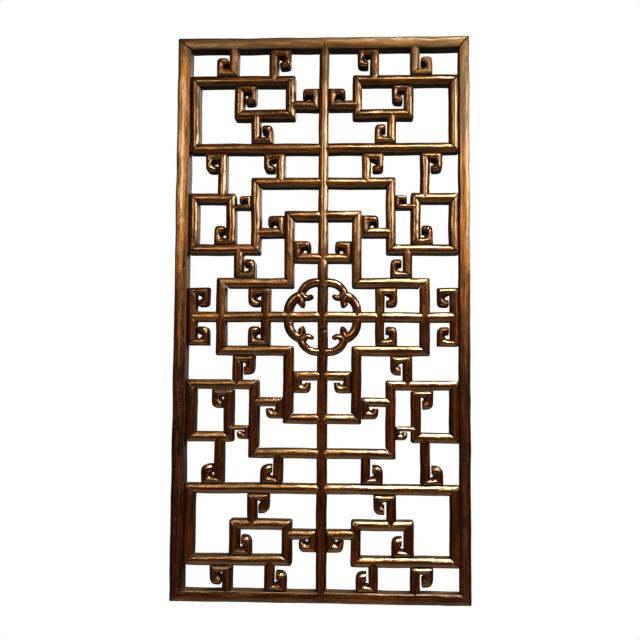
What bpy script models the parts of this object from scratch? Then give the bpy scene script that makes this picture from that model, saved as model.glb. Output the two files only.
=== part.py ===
# A carved wooden lattice panel: moulded strips, mitred and lapped inside a mitred frame.
# Metres, +Z up, front towards -Y. The origin is on the flat back of the top rail, above the mullion.

import math

import bmesh
import bpy
from mathutils import Vector

# Grid of the lattice, between the centre lines of its strips
PITCH = 0.0575
CORNER_PITCH = 0.0592
TOP_CLEAR = 0.0465
BOTTOM_CLEAR = 0.042
SIDE_EASE = 0.0008

# Strips
BAR_WIDTH = 0.0165
LATTICE_DEPTH = 0.028
LATTICE_SET_BACK = 0.004
BAR_CROWN = 0.005

# Frame
LEFT_STILE = 0.0215
RIGHT_STILE = 0.017
TOP_RAIL = 0.0195
BOTTOM_RAIL = 0.0175
FRAME_DEPTH = 0.033
FRAME_CROWN = 0.0028
RAIL_TENON = 0.006

# Hooks: the post, the foot that turns off it, and the whole width and height of the turned end
HOOK_POST = 0.0155
HOOK_FOOT = 0.011
HOOK_SPAN = 0.037
HOOK_RISE = 0.032
ARM_HOOK_FOOT = 0.0125
ARM_HOOK_SPAN = 0.0365
ARM_HOOK_RISE = 0.0285
SMALL_HOOK_POST = 0.0075
SMALL_HOOK_FOOT = 0.0065
SMALL_HOOK_SPAN = 0.022
SMALL_HOOK_RISE = 0.019
SMALL_HOOK_CROWN = 0.0025

# Shape of a hook's head, as shares of the room beside its post
THROAT_SHARE = 0.38
SLIT_SHARE = 0.13
CHIN_SHARE = 0.1
HEAD_ROUNDNESS = 3.0
HEAD_STEPS = 3

# Where posts and arms stand, in pitches from the mullion or from the centre bar
TOP_HOOK_AT = 2.717
HEAD_HOOK_AT = 1.506
RETURN_AT = 2.532
RETURN_HOOK_AT = 2.026
SHELF_HOOK_AT = 3.009
YOKE_HOOK_AT = 1.277
SCROLL_AT = 2.737
SILL_HOOK_AT = 2.501
INNER_SCROLL_AT = 1.683
SHELF_AT = 3.529
SMALL_ARM_AT = 3.27
SIDE_ARM_AT = 2.5
MULLION_ARM_AT = 1.74
DROP_ARM_RISE = 0.0158

# Ring at the centre: four lobes whose ends curl in as claws, in shares of the ring's reach
RING_REACH = 0.0655
RING_STRIP = 0.012
LOBE_RADIUS_SHARE = 0.527
LOBE_OFFSET_SHARE = 0.153
LOBE_STEPS = 3
LOBE_STEP_IN = 0.0004
LOBE_END = math.radians(8)
CLAW_ACROSS_SHARE = 0.382
CLAW_UP_SHARE = 0.606
CLAW_REACH_SHARE = 0.145
CLAW_THROAT_SHARE = 0.043
CLAW_TIP_SHARE = 0.099
CLAW_TURN = math.radians(138)
CLAW_STEPS = 4

# Fit between pieces, and how far short of a ridge an end stops
GAP = 0.0003
RIDGE_EASE = 0.001

# Cross-section: where a strip's shoulder starts, and how square the shoulders are
SHOULDER_SHARE = 0.62
BAR_ROUNDNESS = 2.0
FRAME_ROUNDNESS = 3.0

# Colour and roughness of each finish
FINISHES = {
    "frame_wood": ((0.33, 0.17, 0.055), 0.38),
    "strip_wood": ((0.24, 0.11, 0.035), 0.36),
    "carved_wood": ((0.2, 0.09, 0.03), 0.4),
}

HALF_BAR = BAR_WIDTH / 2
FIELD_HALF = 4 * PITCH + SIDE_EASE
STILE_LINE = FIELD_HALF - GAP - HALF_BAR
CROSSBAR_LINE = 4 * PITCH + CORNER_PITCH
RETURN_LINE = CROSSBAR_LINE + CORNER_PITCH
HEAD_LINE = RETURN_LINE + CORNER_PITCH
FIELD_TOP = HEAD_LINE + HALF_BAR + TOP_CLEAR
FIELD_BOTTOM = HEAD_LINE + HALF_BAR + BOTTOM_CLEAR
RAIL_LINE = FIELD_TOP + TOP_RAIL / 2
RING_LINE = RING_REACH - RING_STRIP / 2
LOBE_RADIUS = RING_REACH * LOBE_RADIUS_SHARE
LOBE_OFFSET = RING_REACH * LOBE_OFFSET_SHARE
CLAW_CENTRE = (RING_REACH * CLAW_ACROSS_SHARE, RING_REACH * CLAW_UP_SHARE)
CLAW_REACH = RING_REACH * CLAW_REACH_SHARE
CLAW_THROAT = RING_REACH * CLAW_THROAT_SHARE
CLAW_TIP = RING_REACH * CLAW_TIP_SHARE

FRAME_FRONT = -FRAME_DEPTH
LATTICE_BACK = -LATTICE_SET_BACK
LATTICE_FRONT = LATTICE_BACK - LATTICE_DEPTH
LAP_PLANE = LATTICE_BACK - LATTICE_DEPTH / 2
ACROSS = (-1, -SHOULDER_SHARE, 0, SHOULDER_SHARE, 1)

HOOK = (HOOK_POST, HOOK_FOOT, HOOK_SPAN, HOOK_RISE)
RUN_HOOK = (BAR_WIDTH, HOOK_FOOT, HOOK_SPAN, HOOK_RISE)
ARM_HOOK = (HOOK_POST, ARM_HOOK_FOOT, ARM_HOOK_SPAN, ARM_HOOK_RISE)
SMALL_HOOK = (SMALL_HOOK_POST, SMALL_HOOK_FOOT, SMALL_HOOK_SPAN, SMALL_HOOK_RISE)

LEFT, RIGHT, UP, DOWN = (-1, 0), (1, 0), (0, 1), (0, -1)


def clear_scene():
    for old in list(bpy.data.objects):
        bpy.data.objects.remove(old)


def make_finish(name):
    colour, roughness = FINISHES[name]
    material = bpy.data.materials.new(name)
    material.use_nodes = True
    shader = material.node_tree.nodes["Principled BSDF"]
    shader.inputs["Base Color"].default_value = (*colour, 1.0)
    shader.inputs["Roughness"].default_value = roughness
    shader.inputs["Metallic"].default_value = 0.0
    material.diffuse_color = (*colour, 1.0)
    return material


# Edges of strips, as rows of two points in the plane of the lattice: (x, height over the centre bar)


def strip_rows(points, width, start_to=None, end_to=None):
    # start_to and end_to point along the neighbour that a mitred end meets; other ends are square
    half = width / 2
    points = [Vector(point) for point in points]
    headings = [(b - a).normalized() for a, b in zip(points, points[1:])]
    sides = [Vector((-heading.y, heading.x)) * half for heading in headings]

    def end_row(point, heading, side, neighbour, forward):
        lean, ease = Vector((0, 0)), Vector((0, 0))
        if neighbour:
            turn = 1 if side.dot(Vector(neighbour)) > 0 else -1
            lean = heading * half * turn * forward
            ease = heading * GAP / math.sqrt(2) * forward
        return point + side + lean + ease, point - side - lean + ease

    rows = [end_row(points[0], headings[0], sides[0], start_to, 1)]
    for corner, before, after in zip(points[1:-1], sides, sides[1:]):
        rows.append((corner + before + after, corner - before - after))
    rows.append(end_row(points[-1], headings[-1], sides[-1], end_to, -1))
    return rows


def turned_over(rows):
    return [(right, left) for left, right in rows]


def hook_rows(corner, toward, back, length, kind):
    # A hook whose outer corner is at corner: its post runs back, its foot toward, and its head over again
    post, foot, span, rise = kind
    room = span - post
    throat = room * THROAT_SHARE / 2
    across, up = post + throat, foot + throat
    chin = post + room * SLIT_SHARE
    diagonal = throat * math.sqrt(0.5)
    pairs = [
        ((0, length), (post, length)),
        ((0, 0), (post, foot)),
        ((across, 0), (across, foot)),
        ((span, 0), (across + diagonal, up - diagonal)),
    ]
    for step in range(HEAD_STEPS + 1):
        angle = math.pi / 2 * step / HEAD_STEPS
        level, height = math.cos(angle), math.sin(angle)
        outer = (
            across + (span - across) * max(level, 0) ** (2 / HEAD_ROUNDNESS),
            up + (rise - up) * height ** (2 / HEAD_ROUNDNESS),
        )
        pairs.append((outer, (across + throat * level, up + throat * height)))
    pairs.append(((chin, rise - room * CHIN_SHARE), (chin, up + throat)))
    corner, toward, back = Vector(corner), Vector(toward), Vector(back)
    return [tuple(corner + toward * u + back * v for u, v in pair) for pair in pairs]


def lobe_rows():
    # The lobe over the centre, from the mullion to its right-hand claw, then mirrored
    centre = Vector((LOBE_OFFSET, RING_REACH - LOBE_RADIUS))
    claw = Vector(CLAW_CENTRE)
    rows = []
    for step in range(LOBE_STEPS + 1):
        angle = math.pi / 2 + (LOBE_END - math.pi / 2) * step / LOBE_STEPS
        ray = Vector((math.cos(angle), math.sin(angle)))
        rows.append((centre + ray * LOBE_RADIUS, centre + ray * (LOBE_RADIUS - RING_STRIP)))
    rows[-1] = (rows[-1][0], claw + Vector((CLAW_THROAT, 0)))
    for step in range(1, CLAW_STEPS + 1):
        share = step / CLAW_STEPS
        ray = Vector((math.cos(-CLAW_TURN * share), math.sin(-CLAW_TURN * share)))
        inner = CLAW_TIP if step == CLAW_STEPS else CLAW_THROAT
        rows.append((claw + ray * CLAW_REACH * (1 + (1 - share) ** 2), claw + ray * inner))
    mirrored = [tuple(Vector((-point.x, point.y)) for point in row) for row in reversed(rows)]
    return mirrored + rows


def placed(rows, flip_x=1, flip_z=1, swap=False):
    moved = []
    for row in rows:
        points = [(point[1], point[0]) if swap else (point[0], point[1]) for point in row]
        moved.append([(x * flip_x, z * flip_z) for x, z in points])
    return moved


# Solids


def mesh_object(name, bm):
    bmesh.ops.remove_doubles(bm, verts=bm.verts, dist=1e-7)
    bmesh.ops.recalc_face_normals(bm, faces=bm.faces)
    mesh = bpy.data.meshes.new(name)
    bm.to_mesh(mesh)
    bm.free()
    solid = bpy.data.objects.new(name, mesh)
    bpy.context.scene.collection.objects.link(solid)
    return solid


def sweep(name, rows, crown=BAR_CROWN, front=LATTICE_FRONT, back=LATTICE_BACK, roundness=BAR_ROUNDNESS):
    # A solid with a crowned front between the two edges, and a flat back
    bm = bmesh.new()
    sections = []
    for left, right in rows:
        section = [bm.verts.new((left[0], back, left[1] - RAIL_LINE))]
        for t in ACROSS:
            share = (t + 1) / 2
            x = left[0] + (right[0] - left[0]) * share
            z = left[1] + (right[1] - left[1]) * share
            drop = crown * (1 - (1 - abs(t) ** roundness) ** (1 / roundness))
            section.append(bm.verts.new((x, front + drop, z - RAIL_LINE)))
        section.append(bm.verts.new((right[0], back, right[1] - RAIL_LINE)))
        sections.append(section)
    for one, two in zip(sections, sections[1:]):
        for i in range(len(one)):
            j = (i + 1) % len(one)
            bm.faces.new((one[i], one[j], two[j], two[i]))
    bm.faces.new(sections[0])
    bm.faces.new(reversed(sections[-1]))
    return mesh_object(name, bm)


def box(name, x_range, z_range, y_range):
    bm = bmesh.new()
    corners = [[bm.verts.new((x, y, z - RAIL_LINE)) for y in y_range for x in x_range] for z in z_range]
    low, high = corners
    bm.faces.new((low[0], low[1], low[3], low[2]))
    bm.faces.new((high[0], high[2], high[3], high[1]))
    for i, j in ((0, 1), (1, 3), (3, 2), (2, 0)):
        bm.faces.new((low[i], high[i], high[j], low[j]))
    return mesh_object(name, bm)


def combine(solid, tool, operation):
    # Applies an exact boolean and removes the tool
    modifier = solid.modifiers.new("combine", "BOOLEAN")
    modifier.operation = operation
    modifier.solver = "EXACT"
    modifier.object = tool
    bpy.context.view_layer.update()
    evaluated = solid.evaluated_get(bpy.context.evaluated_depsgraph_get())
    result = bpy.data.meshes.new_from_object(evaluated)
    solid.modifiers.remove(modifier)
    solid.data = result
    bpy.data.objects.remove(tool)


def join_hook(solid, rows, crown=BAR_CROWN):
    combine(solid, sweep("hook", rows, crown), "UNION")


def cope(solid, points, width, crown=BAR_CROWN, front=LATTICE_FRONT, back=LATTICE_BACK, roundness=BAR_ROUNDNESS):
    # Cuts a strip's end to the moulded face of the strip that it meets, with a gap all round
    rows = strip_rows(points, width + 2 * GAP)
    combine(solid, sweep("cope", rows, crown, front - GAP, back, roundness), "DIFFERENCE")


def lap(over, under, at, over_heading, over_width, under_width):
    # Two strips cross: the front one is notched from behind, the other one is cut to its moulded face
    at, over_heading = Vector(at), Vector(over_heading)
    reach = (under_width / 2 + GAP) * abs(over_heading.x) + (over_width / 2 + GAP) * abs(over_heading.y)
    rise = (under_width / 2 + GAP) * abs(over_heading.y) + (over_width / 2 + GAP) * abs(over_heading.x)
    notch = box(
        "notch",
        (at.x - reach, at.x + reach),
        (at.y - rise, at.y + rise),
        (LAP_PLANE - GAP / 2, LATTICE_BACK + GAP),
    )
    combine(over, notch, "DIFFERENCE")
    ends = [at - over_heading * under_width, at + over_heading * under_width]
    cope(under, ends, over_width, back=LAP_PLANE + GAP / 2)


def finish(solid, material):
    bm = bmesh.new()
    bm.from_mesh(solid.data)
    bmesh.ops.remove_doubles(bm, verts=bm.verts, dist=1e-6)
    bmesh.ops.dissolve_limit(bm, angle_limit=1e-4, verts=bm.verts, edges=bm.edges)
    bmesh.ops.triangulate(bm, faces=bm.faces)
    bm.to_mesh(solid.data)
    bm.free()
    solid.data.materials.clear()
    solid.data.materials.append(material)


# Frame


def make_frame():
    left, right = -FIELD_HALF - LEFT_STILE, FIELD_HALF + RIGHT_STILE
    top, bottom = FIELD_TOP + TOP_RAIL, -FIELD_BOTTOM - BOTTOM_RAIL
    outer = [Vector(corner) for corner in ((left, bottom), (left, top), (right, top), (right, bottom))]
    inner = [
        Vector(corner)
        for corner in (
            (-FIELD_HALF, -FIELD_BOTTOM),
            (-FIELD_HALF, FIELD_TOP),
            (FIELD_HALF, FIELD_TOP),
            (FIELD_HALF, -FIELD_BOTTOM),
        )
    ]
    names = ("left_stile", "top_rail", "right_stile", "bottom_rail")
    solids = {}
    for i, name in enumerate(names):
        j = (i + 1) % 4
        ease = (outer[j] - outer[i]).normalized() * GAP / math.sqrt(2)
        rows = [(outer[i] + ease, inner[i] + ease), (outer[j] - ease, inner[j] - ease)]
        solids[name] = sweep(name, rows, FRAME_CROWN, FRAME_FRONT, 0.0, FRAME_ROUNDNESS)
    return solids


def add_rail_hooks(rail, flip_z, clear):
    # Two hooks hang from a rail, and their feet rest on the heads of the corner frets
    post_line = TOP_HOOK_AT * PITCH
    corner = (post_line - HOOK_POST / 2, HEAD_LINE + HALF_BAR + GAP)
    rows = hook_rows(corner, RIGHT, UP, clear - GAP + RAIL_TENON, HOOK)
    for flip_x in (-1, 1):
        join_hook(rail, placed(rows, flip_x, flip_z))


# Strips that cross the whole panel


def make_crossing_strips():
    solids = {}
    ends = [(0, -FIELD_BOTTOM - BOTTOM_RAIL / 2 + RIDGE_EASE), (0, RAIL_LINE - RIDGE_EASE)]
    mullion = sweep("mullion", strip_rows(ends, BAR_WIDTH))
    corner = (PITCH - HALF_BAR - GAP, MULLION_ARM_AT * PITCH - HOOK_POST / 2)
    arm = hook_rows(corner, UP, LEFT, corner[0] - RIDGE_EASE, ARM_HOOK)
    for flip_x in (-1, 1):
        for flip_z in (-1, 1):
            join_hook(mullion, placed(arm, flip_x, flip_z))
    solids["mullion"] = mullion

    reach = STILE_LINE - RIDGE_EASE
    solids["centre_bar"] = sweep("centre_bar", strip_rows([(-reach, 0), (reach, 0)], BAR_WIDTH))

    for flip_z, side in ((1, "upper"), (-1, "lower")):
        away = (0, flip_z)
        back = (0, -flip_z)
        height = CROSSBAR_LINE * flip_z
        rows = strip_rows([(-STILE_LINE, height), (STILE_LINE, height)], BAR_WIDTH, away, away)
        solids[side + "_crossbar"] = sweep(side + "_crossbar", rows)

        height = 4 * PITCH * flip_z
        rows = strip_rows([(-2 * PITCH, height), (2 * PITCH, height)], BAR_WIDTH, back, back)
        yoke = sweep(side + "_yoke_bar", rows)
        post_side = YOKE_HOOK_AT * PITCH - HOOK_POST / 2
        under = CROSSBAR_LINE - HALF_BAR - GAP
        hook = hook_rows((post_side, under), RIGHT, DOWN, under - 4 * PITCH - RIDGE_EASE, HOOK)
        for flip_x in (-1, 1):
            join_hook(yoke, placed(hook, flip_x, flip_z))
        solids[side + "_yoke_bar"] = yoke

        height = 3 * PITCH * flip_z
        rows = strip_rows([(-PITCH, height), (PITCH, height)], BAR_WIDTH, back, back)
        solids[side + "_step_bar"] = sweep(side + "_step_bar", rows)
    return solids


# Pieces at each side of the centre


def double_scroll(name, outer_edge, toward, height, flip_x):
    # A post whose two ends turn off the same way and curl back to the middle
    top = hook_rows((outer_edge, height), toward, DOWN, height, HOOK)
    low = placed(top, 1, -1)
    return sweep(name, placed(list(reversed(top[1:])) + low[1:], flip_x))


def make_side_pieces():
    solids = {}
    for flip_x, side in ((-1, "left"), (1, "right")):
        line = 3 * PITCH
        inward = (-flip_x, 0)
        rows = strip_rows([(line * flip_x, -PITCH), (line * flip_x, PITCH)], BAR_WIDTH, inward, inward)
        solids[side + "_loop_post"] = sweep(side + "_loop_post", rows)
        height = PITCH - HALF_BAR - GAP
        name = side + "_end_scroll"
        solids[name] = double_scroll(name, FIELD_HALF - GAP, LEFT, height, flip_x)
        name = side + "_inner_scroll"
        edge = INNER_SCROLL_AT * PITCH - HOOK_POST / 2
        solids[name] = double_scroll(name, edge, RIGHT, height, flip_x)
    return solids


# Pieces in each quarter, worked out for the upper right one and mirrored


def corner_fret():
    post = strip_rows([(STILE_LINE, CROSSBAR_LINE), (STILE_LINE, HEAD_LINE)], BAR_WIDTH, LEFT, LEFT)
    head = strip_rows([(PITCH, HEAD_LINE), (STILE_LINE, HEAD_LINE)], BAR_WIDTH, DOWN, DOWN)
    drop = strip_rows([(PITCH, RETURN_LINE), (PITCH, HEAD_LINE)], BAR_WIDTH, RIGHT, RIGHT)

    arm_corner = (HALF_BAR + GAP, RETURN_LINE + DROP_ARM_RISE - HOOK_POST / 2)
    arm = hook_rows(arm_corner, UP, RIGHT, PITCH - arm_corner[0] - RIDGE_EASE, ARM_HOOK)

    line = RETURN_AT * PITCH
    top = HEAD_LINE - HALF_BAR - GAP
    run = strip_rows([(PITCH, RETURN_LINE), (line, RETURN_LINE), (line, top)], BAR_WIDTH, UP)
    turned = hook_rows((line + HALF_BAR, top), LEFT, DOWN, 0, RUN_HOOK)
    returned = turned_over(run)[:-1] + turned[1:]

    hook_corner = (RETURN_HOOK_AT * PITCH + HOOK_POST / 2, CROSSBAR_LINE + HALF_BAR + GAP)
    hook = hook_rows(hook_corner, LEFT, UP, RETURN_LINE - RIDGE_EASE - hook_corner[1], HOOK)
    return {
        "corner_post": (post, []),
        "corner_head": (head, []),
        "corner_drop": (drop, [(arm, BAR_CROWN)]),
        "corner_return": (returned, [(hook, BAR_CROWN)]),
    }


def head_hook(clear):
    # Rises from the head of the corner fret and turns in under the rail
    under = HEAD_LINE + HALF_BAR + clear - GAP
    corner = (HEAD_HOOK_AT * PITCH + HOOK_POST / 2, under)
    return hook_rows(corner, LEFT, DOWN, under - HEAD_LINE - RIDGE_EASE, HOOK)


def side_fret():
    sill_line, shelf_line, scroll_line = 2 * PITCH, SHELF_AT * PITCH, SCROLL_AT * PITCH
    drop = strip_rows([(sill_line, 4 * PITCH), (sill_line, sill_line)], BAR_WIDTH, LEFT, RIGHT)
    sill = strip_rows([(sill_line, sill_line), (STILE_LINE, sill_line)], BAR_WIDTH, UP, UP)
    post = strip_rows([(STILE_LINE, sill_line), (STILE_LINE, shelf_line)], BAR_WIDTH, LEFT, LEFT)
    shelf = strip_rows([(STILE_LINE, shelf_line), (scroll_line, shelf_line)], BAR_WIDTH, DOWN, DOWN)

    foot = sill_line + HALF_BAR + GAP
    run = strip_rows([(scroll_line, shelf_line), (scroll_line, foot)], BAR_WIDTH, RIGHT)
    turned = hook_rows((scroll_line - HALF_BAR, foot), RIGHT, UP, 0, RUN_HOOK)
    scroll = turned_over(run)[:-1] + turned[1:]

    small_corner = (sill_line + HALF_BAR + GAP, SMALL_ARM_AT * PITCH - SMALL_HOOK_POST / 2)
    small_length = scroll_line - RIDGE_EASE - small_corner[0]
    small = hook_rows(small_corner, UP, RIGHT, small_length, SMALL_HOOK)

    arm_corner = (PITCH + HALF_BAR + GAP, SIDE_ARM_AT * PITCH - HOOK_POST / 2)
    arm = hook_rows(arm_corner, UP, RIGHT, sill_line - RIDGE_EASE - arm_corner[0], ARM_HOOK)

    under = CROSSBAR_LINE - HALF_BAR - GAP
    shelf_corner = (SHELF_HOOK_AT * PITCH - HOOK_POST / 2, under)
    shelf_hook = hook_rows(shelf_corner, RIGHT, DOWN, under - shelf_line - RIDGE_EASE, HOOK)

    sill_corner = (SILL_HOOK_AT * PITCH + HOOK_POST / 2, PITCH + HALF_BAR + GAP)
    sill_hook = hook_rows(sill_corner, LEFT, UP, sill_line - RIDGE_EASE - sill_corner[1], HOOK)
    return {
        "side_drop": (drop, [(arm, BAR_CROWN)]),
        "side_sill": (sill, [(sill_hook, BAR_CROWN)]),
        "side_post": (post, []),
        "side_shelf": (shelf, [(shelf_hook, BAR_CROWN)]),
        "side_scroll": (scroll, [(small, SMALL_HOOK_CROWN)]),
    }


def stepped_corner():
    points = [(PITCH, 3 * PITCH), (PITCH, PITCH), (3 * PITCH, PITCH)]
    return {"step": (strip_rows(points, BAR_WIDTH, LEFT, DOWN), [])}


def make_quarter(flip_x, flip_z, clear):
    name_start = ("upper_" if flip_z > 0 else "lower_") + ("left_" if flip_x < 0 else "right_")
    pieces = {**corner_fret(), **side_fret(), **stepped_corner()}
    pieces["corner_head"][1].append((head_hook(clear), BAR_CROWN))
    solids = {}
    for name, (rows, hooks) in pieces.items():
        solid = sweep(name_start + name, placed(rows, flip_x, flip_z))
        for hook, crown in hooks:
            join_hook(solid, placed(hook, flip_x, flip_z), crown)
        solids[name_start + name] = solid
    return solids


def make_ring():
    # The side lobes lie a little within the faces of the upper and lower ones, which they run into
    lobe = lobe_rows()
    ring = sweep("ring", placed(lobe))
    side_front, side_back = LATTICE_FRONT + LOBE_STEP_IN, LATTICE_BACK - LOBE_STEP_IN
    for flip_x in (1, -1):
        side = sweep("lobe", placed(lobe, flip_x, 1, True), BAR_CROWN, side_front, side_back)
        combine(ring, side, "UNION")
    combine(ring, sweep("lobe", placed(lobe, 1, -1)), "UNION")
    return {"ring": ring}


# Joints between the pieces


def fit_joints(solids):
    mullion, centre = solids["mullion"], solids["centre_bar"]
    for line, width in ((RAIL_LINE, TOP_RAIL), (-FIELD_BOTTOM - BOTTOM_RAIL / 2, BOTTOM_RAIL)):
        rail = [(-BAR_WIDTH, line), (BAR_WIDTH, line)]
        cope(mullion, rail, width, FRAME_CROWN, FRAME_FRONT, 0.0, FRAME_ROUNDNESS)
    for flip_x in (-1, 1):
        line = (FIELD_HALF - GAP - HOOK_POST / 2) * flip_x
        cope(centre, [(line, -BAR_WIDTH), (line, BAR_WIDTH)], HOOK_POST)

    for flip_z, side in ((1, "upper"), (-1, "lower")):
        for name, height in (("crossbar", CROSSBAR_LINE), ("yoke_bar", 4 * PITCH), ("step_bar", 3 * PITCH)):
            under = solids[side + "_" + name]
            lap(mullion, under, (0, height * flip_z), UP, BAR_WIDTH, BAR_WIDTH)
        lap(mullion, solids["ring"], (0, RING_LINE * flip_z), UP, BAR_WIDTH, RING_STRIP)
    lap(mullion, centre, (0, 0), UP, BAR_WIDTH, BAR_WIDTH)

    for flip_x, side in ((-1, "left"), (1, "right")):
        lap(centre, solids["ring"], (RING_LINE * flip_x, 0), RIGHT, BAR_WIDTH, RING_STRIP)
        lap(solids[side + "_loop_post"], centre, (3 * PITCH * flip_x, 0), UP, BAR_WIDTH, BAR_WIDTH)
        line = INNER_SCROLL_AT * PITCH * flip_x
        lap(solids[side + "_inner_scroll"], centre, (line, 0), UP, HOOK_POST, BAR_WIDTH)


def finish_of(name):
    if name.endswith("rail") or name.endswith("stile"):
        return "frame_wood"
    return "carved_wood" if name.endswith("scroll") or name == "ring" else "strip_wood"


clear_scene()
finishes = {name: make_finish(name) for name in FINISHES}
solids = make_frame()
add_rail_hooks(solids["top_rail"], 1, TOP_CLEAR)
add_rail_hooks(solids["bottom_rail"], -1, BOTTOM_CLEAR)
solids.update(make_crossing_strips())
solids.update(make_side_pieces())
for flip_x in (-1, 1):
    solids.update(make_quarter(flip_x, 1, TOP_CLEAR))
    solids.update(make_quarter(flip_x, -1, BOTTOM_CLEAR))
solids.update(make_ring())
fit_joints(solids)
for name, solid in solids.items():
    finish(solid, finishes[finish_of(name)])
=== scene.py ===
import math

import bmesh
import bpy
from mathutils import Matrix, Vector


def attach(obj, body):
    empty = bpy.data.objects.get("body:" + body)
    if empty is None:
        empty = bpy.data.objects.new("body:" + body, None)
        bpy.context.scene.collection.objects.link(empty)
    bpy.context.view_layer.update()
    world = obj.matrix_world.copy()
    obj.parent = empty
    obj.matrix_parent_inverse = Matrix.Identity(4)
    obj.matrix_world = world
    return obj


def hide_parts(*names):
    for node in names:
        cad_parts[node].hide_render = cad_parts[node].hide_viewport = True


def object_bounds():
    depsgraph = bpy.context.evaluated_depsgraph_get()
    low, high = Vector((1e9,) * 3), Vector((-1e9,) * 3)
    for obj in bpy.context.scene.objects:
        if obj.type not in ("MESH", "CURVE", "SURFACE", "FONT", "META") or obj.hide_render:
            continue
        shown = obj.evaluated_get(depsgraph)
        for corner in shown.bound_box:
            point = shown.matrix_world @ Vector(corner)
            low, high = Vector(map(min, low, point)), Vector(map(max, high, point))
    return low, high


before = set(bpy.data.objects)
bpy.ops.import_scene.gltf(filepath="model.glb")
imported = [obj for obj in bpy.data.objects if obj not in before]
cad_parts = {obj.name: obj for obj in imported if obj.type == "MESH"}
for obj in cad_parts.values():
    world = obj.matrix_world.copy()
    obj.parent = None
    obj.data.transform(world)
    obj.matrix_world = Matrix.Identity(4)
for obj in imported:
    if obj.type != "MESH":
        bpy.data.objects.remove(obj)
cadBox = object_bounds()
print("frame loaded:", len(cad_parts), "strips")

# Everything is in metres: x to the right, z up, front towards -y.
# Plans are drawn as (x, height over the centre bar), and railLine takes them down to the frame's own z.
grid = {
    "pitch": 0.0575, "cornerPitch": 0.0592, "topClear": 0.0465, "bottomClear": 0.042, "sideEase": 0.0008,
}
strip = {
    "width": 0.0165, "crown": 0.005, "front": -0.032, "back": -0.004, "roundness": 2.0, "rise": 0.0,
    "corner": 0.0034,
}
border = {"left": 0.0215, "right": 0.017, "top": 0.0195, "bottom": 0.0175}
borderLook = {"crown": 0.0028, "front": -0.033, "back": 0.0, "roundness": 3.0, "corner": 0.0016}
joint = {
    "gap": 0.0003, "ridgeEase": 0.001, "crossingRise": 0.0009, "crossingReach": 0.022, "crossingApex": 0.55,
    "setBack": 0.0004,  # between faces that would lie in one plane
}

pitch = grid["pitch"]
halfBar = strip["width"] / 2
gap = joint["gap"]
ease = joint["ridgeEase"]
fieldHalf = 4 * pitch + grid["sideEase"]
stileLine = fieldHalf - gap - halfBar
crossbarLine = 4 * pitch + grid["cornerPitch"]
returnLine = crossbarLine + grid["cornerPitch"]
headLine = returnLine + grid["cornerPitch"]
fieldTop = headLine + halfBar + grid["topClear"]
fieldBottom = headLine + halfBar + grid["bottomClear"]
railLine = fieldTop + border["top"] / 2

left, right, up, down = (-1, 0), (1, 0), (0, 1), (0, -1)
levels = (("upper", 1), ("lower", -1))
clears = {"upper": grid["topClear"], "lower": grid["bottomClear"]}


# Plans of strips: rows of two edge points, with the rows that are mitres and the ends that run
# into another strip

def lerp(a, b, share):
    return a + (b - a) * share


def run(rows, mitres=(), tongues=(), **look):
    # tongues: (row, half width of the strip that it runs into), for the V that shows there
    item = {**strip, "rows": rows, "behind": rows, "tips": [0.0] * len(rows), "rises": []}
    return {**item, "mitres": list(mitres), "tongues": list(tongues), **look}


def stripRun(points, width=None, startTo=None, endTo=None, tongues=(), **look):
    half = (width or strip["width"]) / 2
    points = [Vector(point) for point in points]
    headings = [(b - a).normalized() for a, b in zip(points, points[1:])]
    sides = [Vector((-heading.y, heading.x)) * half for heading in headings]

    def endRow(point, heading, side, neighbour, forward):
        lean, off = Vector((0, 0)), Vector((0, 0))
        if neighbour:
            turn = 1 if side.dot(Vector(neighbour)) > 0 else -1
            lean = heading * half * turn * forward
            off = heading * gap / math.sqrt(2) * forward
        return point + side + lean + off, point - side - lean + off

    rows = [endRow(points[0], headings[0], sides[0], startTo, 1)]
    for corner, before, after in zip(points[1:-1], sides, sides[1:]):
        rows.append((corner + before + after, corner - before - after))
    rows.append(endRow(points[-1], headings[-1], sides[-1], endTo, -1))
    mitres = list(range(1, len(rows) - 1))
    if startTo:
        mitres.append(0)
    if endTo:
        mitres.append(len(rows) - 1)
    return run(rows, mitres, tongues, **look)


hook = {"post": 0.0155, "foot": 0.011, "span": 0.037, "rise": 0.032}
armHook = {"post": 0.0155, "foot": 0.0125, "span": 0.0365, "rise": 0.0285}
runHook = {**hook, "post": strip["width"]}
smallHook = {"post": 0.0075, "foot": 0.0065, "span": 0.022, "rise": 0.019}
smallCrown = 0.0025
hookHeads = {  # the upper hooks curl over a round hollow, the lower ones stand up like thumbs
    "upper": {"throat": 0.5, "throatBehind": 0.25, "slit": 0.12, "chin": 0.08, "roundness": 4.2},
    "lower": {"throat": 0.36, "throatBehind": 0.22, "slit": 0.16, "chin": 0.06, "roundness": 3.2},
}
hookCorner = 0.0018
hookSteps, hookTipRows = 7, 4


def hookRun(corner, toward, back, length, sizes, receiver=None, level="upper", **look):
    # The outer corner is at corner: the post runs back, the foot toward, and the head curls over again.
    # Its throat is cut wider in front than behind.
    corner, toward, back = Vector(corner), Vector(toward), Vector(back)

    def place(pairs):
        return [tuple(corner + toward * u + back * v for u, v in pair) for pair in pairs]

    head = hookHeads[level]
    rows = place(hookPairs(sizes, length, head, head["throat"]))
    behind = place(hookPairs(sizes, length, head, head["throatBehind"]))
    tips = [0.0] * (len(rows) - hookTipRows) + [(i + 1) / hookTipRows for i in range(hookTipRows)]
    look = {"corner": hookCorner, **look}
    return run(rows, [1], [(0, receiver)] if receiver else [], behind=behind, tips=tips, **look)


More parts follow.
